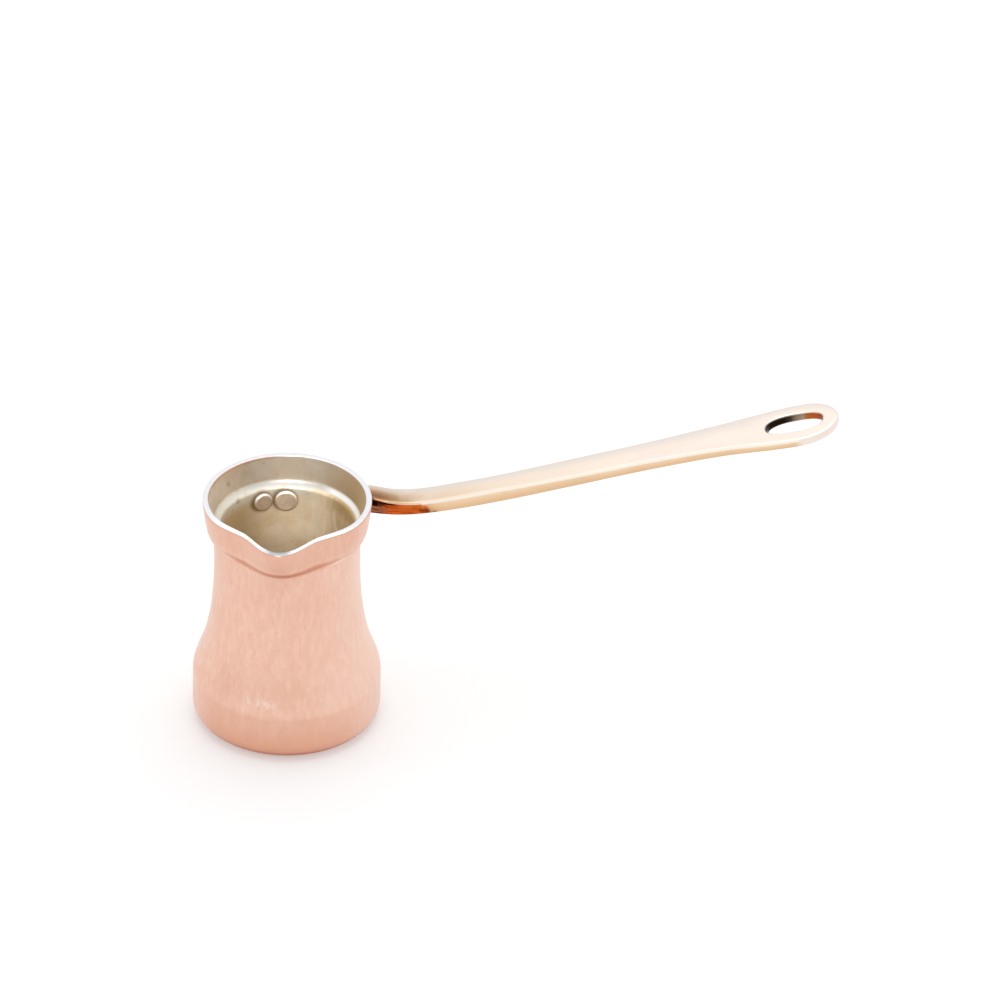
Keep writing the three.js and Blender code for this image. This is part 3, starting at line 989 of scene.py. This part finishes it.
def onSpine(place):
    # from the straightened bar to its run round the neck and up to the tip
    along, across, upward = place
    if along < 0:
        angle = math.pi / 2 - along / handle["strapRadius"]
        radius = handle["strapRadius"] + across
        return Vector((radius * math.cos(angle), radius * math.sin(angle), handle["strapLevel"] + upward))
    slope = (barSize(1, along + 1) - barSize(1, max(along - 1, 0))) / (2 if along > 1 else 1 + along)
    up = Vector((-slope, 0, 1)).normalized()
    centre = Vector((along, handle["strapRadius"] + across, handle["strapLevel"] + barSize(1, along)))
    return centre + upward * up


def makeHandle(material):
    bar = bmesh.new()
    end = drawOutBar(bar, *bladeSheet(bar))
    bmesh.ops.recalc_face_normals(bar, faces=bar.faces)
    bmesh.ops.solidify(bar, geom=bar.faces[:], thickness=1)
    middle = sum(vert.co.z for vert in bar.verts) / len(bar.verts)
    for vert in bar.verts:
        vert.co.z = (vert.co.z - middle) * barSize(3, vert.co.x)
    bmesh.ops.recalc_face_normals(bar, faces=bar.faces)
    corners = [
        e
        for e in bar.edges
        if all(abs(v.co.x - end) < 0.01 for v in e.verts) and abs(e.verts[0].co.z - e.verts[1].co.z) < 0.01
    ]
    bmesh.ops.bevel(
        bar,
        geom=corners,
        affect="EDGES",
        offset_type="OFFSET",
        offset=handle["strapRound"],
        segments=8,
        profile=0.5,
        material=-1,
        clamp_overlap=False,
    )
    bar.normal_update()
    # the strap's rounded end goes with its flats, not with its sides
    walls = [
        f
        for f in bar.faces
        if abs(f.normal.z) < 0.3 and (abs(f.normal.y) > 0.5 or f.calc_center_median().x > 0)
    ]
    band = [f for f in bar.faces if f not in set(walls)]
    support = handle["support"]
    bmesh.ops.inset_region(bar, faces=band, thickness=support, use_even_offset=True)
    bmesh.ops.inset_region(bar, faces=walls, thickness=support, use_even_offset=True)
    bar.normal_update()
    sharp = [e for e in bar.edges if e.calc_face_angle(0) > 0.9]  # radians
    rounded = bmesh.ops.bevel(
        bar,
        geom=sharp,
        affect="EDGES",
        offset_type="OFFSET",
        offset=handle["edgeRadius"],
        segments=handle["edgeSteps"],
        profile=0.5,
        material=-1,
        clamp_overlap=False,
    )
    print("handle edges rounded:", len(sharp), "faces", len(rounded["faces"]))
    # cuts across the strap's rounded end, so that it bends with the neck
    for share in (0.25, 0.5, 0.75):
        bmesh.ops.bisect_plane(
            bar,
            geom=[*bar.verts, *bar.edges, *bar.faces],
            plane_co=(end + share * handle["strapRound"], 0, 0),
            plane_no=(1, 0, 0),
        )
    topFace = bar.verts.layers.float.new("topFace")
    rise = bar.verts.layers.float.new("rise")
    farEdgeShade = bar.verts.layers.float.new("farEdgeShade")
    inHole = bar.verts.layers.float.new("inHole")
    bendStart = handle["reach"] - handle["tipLength"]
    for vert in bar.verts:
        top = barSize(3, vert.co.x) / 2
        into = min(max(vert.co.x - bendStart, 0) / handle["tipLength"], 1)
        side = barSize(2, vert.co.x) / 2 * math.sqrt(1 - into**2)
        vert[topFace] = ease(vert.co.z, top - 0.4, top - 0.02)
        # 0.8 where the rounded upper edge starts
        wall = 2 * top - handle["edgeRadius"]
        above = vert.co.z + top - wall
        vert[rise] = 0.8 + (0.2 * above / handle["edgeRadius"] if above > 0 else 0.8 * above / wall)
        vert[farEdgeShade] = ease(vert.co.y, side - 2.4, side - 0.8)
        vert[inHole] = 1 - ease(holeShare(vert.co), 1.0, 1.1)
        vert.co = onSpine(vert.co)
    bmesh.ops.recalc_face_normals(bar, faces=bar.faces)
    return finishPiece(bar, "cast_handle", material, "handle")


# colours as seen on screen
bronzeLook = {
    # along the handle, each a distance from the pot's axis in mm and a colour
    "farTop": [
        (27, shown(198, 162, 132)),
        (32, shown(207, 180, 154)),
        (37, shown(222, 203, 184)),
        (45, shown(234, 218, 201)),
        (63, shown(243, 226, 210)),
        (93, shown(248, 232, 219)),
        (112, shown(251, 236, 225)),
    ],
    "nearTop": [
        (27, shown(136, 96, 64)),
        (32, shown(168, 134, 98)),
        (37, shown(200, 170, 136)),
        (45, shown(231, 206, 180)),
        (63, shown(244, 225, 204)),
        (93, shown(250, 234, 218)),
        (112, shown(252, 237, 226)),
    ],
    "edgeHighlight": [
        (25, shown(150, 105, 75)),
        (29, shown(206, 170, 138)),
        (33, shown(218, 195, 171)),
        (37, shown(237, 219, 202)),
        (48, shown(246, 232, 212)),
    ],
    "hole": [
        (154.5, shown(32, 23, 12)),
        (156.4, shown(70, 56, 40)),
        (157.6, shown(124, 106, 90)),
        (160.2, shown(166, 140, 114)),
        (161.4, shown(174, 98, 46)),
        (164.6, shown(180, 84, 26)),
        (166.5, shown(132, 56, 18)),
    ],
    # up the side, each a share of its height and a colour
    "side": [
        (0, shown(222, 190, 156)),
        (0.2, shown(227, 189, 148)),
        (0.45, shown(235, 200, 162)),
        (0.72, shown(241, 212, 180)),
        (0.81, shown(251, 240, 222)),
        (0.9, shown(254, 248, 237)),
        (1, shown(252, 241, 226)),
    ],
    "topClouds": shown(244, 228, 214),
    "sideClouds": shown(222, 186, 142),
    "sideAtTip": shown(243, 229, 220),
    "reflectionFade": shown(216, 156, 104),  # where the painted reflection of the pot fades out
    "potReflection": shown(176, 72, 20),
    "potReflectionStreaks": shown(216, 110, 46),
    "potReflectionShadedEnd": shown(104, 42, 12),
    "rootShade": shown(98, 50, 20),
    "rootShadeStreaks": shown(176, 124, 92),
    "rootShadow": shown(26, 6, 2),
    "farEdgeShade": shown(222, 216, 210),
    "grainRelief": 0.01,  # mm
    "smoothest": 0.28,
    "roughest": 0.38,
}


def bronzeFinish(look):
    material, tree, shader, place = newMaterial("castBronze")
    along, across = addNode(tree, "SeparateXYZ", {0: place}).outputs[:2]
    topFace, rise = marked(tree, "topFace"), marked(tree, "rise")
    fine = useGroup(tree, grain, Vector=place, Size=0.5, Stretch=1.0)["Tone"]
    clouds = useGroup(tree, patches, Vector=place, Size=14.0, Low=0.4, High=0.65)["Mask"]
    ragged = useGroup(tree, grain, Vector=place, Size=2.0, Stretch=1.0)["Tone"]
    ragged = calc(tree, "SUBTRACT", ragged, 0.5)
    # the top: painted shade and a painted reflection of the copper beside the pot, most of all along its
    # near edge
    farColour = colourRun(tree, along, look["farTop"])
    nearColour = colourRun(tree, along, look["nearTop"])
    topColour = mixColours(tree, ranged(tree, across, 22.3, 27.5), nearColour, farColour)
    topColour = mixColours(tree, both(tree, clouds, 0.4), topColour, look["topClouds"])
    # the side: painted shade on a yellower wall, with a painted highlight along its upper edge
    sideColour = colourRun(tree, rise, look["side"])
    lower = ranged(tree, rise, 0.85, 0.7, 0.0, 0.35)
    sideColour = mixColours(tree, both(tree, clouds, lower), sideColour, look["sideClouds"])
    sideColour = mixColours(tree, ranged(tree, along, 158.5, 161.8), sideColour, look["sideAtTip"])
    # a painted orange reflection of the copper pot on the side at the root, with painted shade turning
    # black up against the collar
    edge = calc(tree, "MULTIPLY_ADD", rise, 5.0, along)
    edge = calc(tree, "MULTIPLY_ADD", ragged, 7.0, edge)
    nearSide = ranged(tree, across, 26.5, 23.5)
    reflectionFade = both(tree, ranged(tree, edge, 49.5, 44.5, 0.0, 0.5), ranged(tree, rise, 0.84, 0.76))
    reflectionFade = both(tree, reflectionFade, nearSide)
    sideColour = mixColours(tree, reflectionFade, sideColour, look["reflectionFade"])
    # painted reflection of the pot, with painted shade at its lower outer end
    streaks = useGroup(tree, hammering, Vector=place, Width=3.5, Length=0.5)["Tone"]
    potReflection = mixColours(tree, streaks, look["potReflection"], look["potReflectionStreaks"])
    ending = both(tree, ranged(tree, edge, 41.5, 43.3), ranged(tree, rise, 0.6, 0.3))
    potReflection = mixColours(tree, both(tree, ending, 0.75), potReflection, look["potReflectionShadedEnd"])
    start = calc(tree, "MULTIPLY_ADD", ragged, 7.0, along)
    rootShadeColour = mixColours(tree, streaks, look["rootShade"], look["rootShadeStreaks"])
    potReflection = mixColours(tree, ranged(tree, start, 30.8, 27.4), potReflection, rootShadeColour)
    # painted shadow: black up against the collar and in a line under the upper edge
    rootShadow = both(tree, ranged(tree, start, 28.8, 26.8), ranged(tree, rise, 0.4, 0.55))
    line = both(tree, ranged(tree, along, 33.5, 31.0), ranged(tree, rise, 0.66, 0.75))
    potReflection = mixColours(tree, calc(tree, "MAXIMUM", rootShadow, line), potReflection, look["rootShadow"])
    atRoot = both(tree, ranged(tree, edge, 46.4, 43.4), ranged(tree, along, 12.0, 22.0))
    atRoot = both(tree, atRoot, nearSide)
    # a painted highlight along the upper edge at the root
    edgeHighlightColour = colourRun(tree, along, look["edgeHighlight"])
    potReflection = mixColours(tree, ranged(tree, rise, 0.79, 0.85), potReflection, edgeHighlightColour)
    sideColour = mixColours(tree, atRoot, sideColour, potReflection)
    colour = mixColours(tree, topFace, sideColour, topColour)
    # painted shade along the top's far edge
    greyed = both(tree, both(tree, marked(tree, "farEdgeShade"), topFace), 0.7)
    colour = mixColours(tree, greyed, colour, look["farEdgeShade"])
    # painted shade in the hole, black at its end towards the pot, then an orange painted reflection
    holeShadeColour = colourRun(tree, along, look["hole"])
    colour = mixColours(tree, marked(tree, "inHole"), colour, holeShadeColour)
    tree.links.new(colour, shader.inputs["Base Color"])
    roughened(tree, shader, fine, look)
    bumped(tree, shader, (fine, look["grainRelief"]))
    return material


makeHandle(bronzeFinish(bronzeLook))

# The rivets: flat heads against the lining, domed heads on the strap
def makeRivet(number, place, material):
    azimuth, level, wide = place
    bevel, outer = rivet["innerBevel"], rivet["outerRadius"]
    reach = pot["neckRadius"] - pot["wall"]
    seat = math.sqrt(reach**2 - wide**2) - rivet["seatGap"]
    face, back = seat - rivet["innerHead"], rivet["outerSeat"]
    top = back + rivet["outerHead"]
    profile = joined(
        straight((0, face), (wide - bevel - 0.25, face), 0.4),
        bowed(
            (wide - bevel - 0.25, face),
            (wide - 0.3, face),
            (wide, face + 0.3),
            (wide, face + 0.7),
            0.15,
        ),
        straight((wide, face + 0.7), (wide, seat), 0.3),
        straight((wide, seat), (rivet["shank"], seat), 0.6),
        straight((rivet["shank"], seat), (rivet["shank"], back), 2),
        straight((rivet["shank"], back), (outer - 0.1, back), 0.4),
        bowed(
            (outer - 0.1, back),
            (outer, back + 0.05),
            (outer, back + 0.1),
            (outer - 0.02, back + 0.2),
            0.1,
        ),
        bowed((outer - 0.02, back + 0.2), (outer - 0.25, back + 0.9), (1.3, top), (0, top), 0.25),
    )
    body = turned(profile, rivet["turns"])
    for vert in body.verts:
        if face + 0.1 < vert.co.z < back + 0.2:
            continue
        dent = noise.noise(Vector((vert.co.x * 0.7, vert.co.y * 0.7, number * 5.0)))
        vert.co.z += 0.03 * (dent - 0.5) if vert.co.z > back else 0.02 * (dent + 0.6)
    turn = Matrix.Rotation(math.radians(azimuth), 3, "Z") @ Matrix.Rotation(math.pi / 2, 3, "Y")
    bmesh.ops.rotate(body, cent=(0, 0, 0), matrix=turn, verts=body.verts)
    bmesh.ops.translate(body, vec=(0, 0, level), verts=body.verts)
    node = "rivet_" + str(number)
    return finishPiece(body, node + "_set", material, node)


# colours as seen on screen, a place and a depth of relief in mm
rivetLook = {
    "inner": shown(224, 206, 182),
    "innerStains": shown(208, 189, 164),
    "secondPlace": (-9.6, 17.7, 66.7),
    "second": shown(188, 166, 140),  # the second head gets painted shade
    "bevel": shown(252, 248, 240),
    "outer": shown(232, 186, 150),
    "outerStains": shown(214, 158, 118),
    "grainRelief": 0.012,
    "smoothest": 0.32,
    "roughest": 0.46,
}


def rivetFinish(look):
    material, tree, shader, place = newMaterial("tinnedRivet", 0.35)
    along, across, height = addNode(tree, "SeparateXYZ", {0: place}).outputs
    flat = addNode(tree, "CombineXYZ", {0: along, 1: across}).outputs[0]
    radius = addNode(tree, "VectorMath", {0: flat}, operation="LENGTH").outputs["Value"]
    fine = useGroup(tree, grain, Vector=place, Size=0.4, Stretch=1.0)["Tone"]
    stains = useGroup(tree, patches, Vector=place, Size=2.5, Low=0.4, High=0.6)["Mask"]
    inner = mixColours(tree, stains, look["inner"], look["innerStains"])
    # painted shade on the second head
    second = near(tree, place, look["secondPlace"], 3.0, 4.6, 0.6)
    inner = mixColours(tree, second, inner, look["second"])
    # a painted highlight on the upper part of each head's bevel
    away = []
    for azimuth, level, wide in rivet["places"]:
        angle = math.radians(azimuth)
        reach = math.sqrt((pot["neckRadius"] - pot["wall"]) ** 2 - wide**2) - rivet["innerHead"] - 0.1
        middle = (reach * math.cos(angle), reach * math.sin(angle), level)
        gap = addNode(tree, "VectorMath", {0: place, 1: middle}, operation="DISTANCE").outputs["Value"]
        away.append(calc(tree, "DIVIDE", gap, wide))
    bevelHighlight = ranged(tree, calc(tree, "MINIMUM", *away), 0.84, 0.92)
    bevelHighlight = both(tree, bevelHighlight, ranged(tree, height, 66.5, 68.5, 0.0, 0.8))
    inner = mixColours(tree, bevelHighlight, inner, look["bevel"])
    outer = mixColours(tree, stains, look["outer"], look["outerStains"])
    colour = mixColours(tree, ranged(tree, radius, 21.3, 21.7), inner, outer)
    tree.links.new(colour, shader.inputs["Base Color"])
    roughened(tree, shader, fine, look)
    bumped(tree, shader, (fine, look["grainRelief"]))
    return material


rivetMetal = rivetFinish(rivetLook)
for number, place in enumerate(rivet["places"], 1):
    makeRivet(number, place, rivetMetal)

bpy.context.view_layer.update()
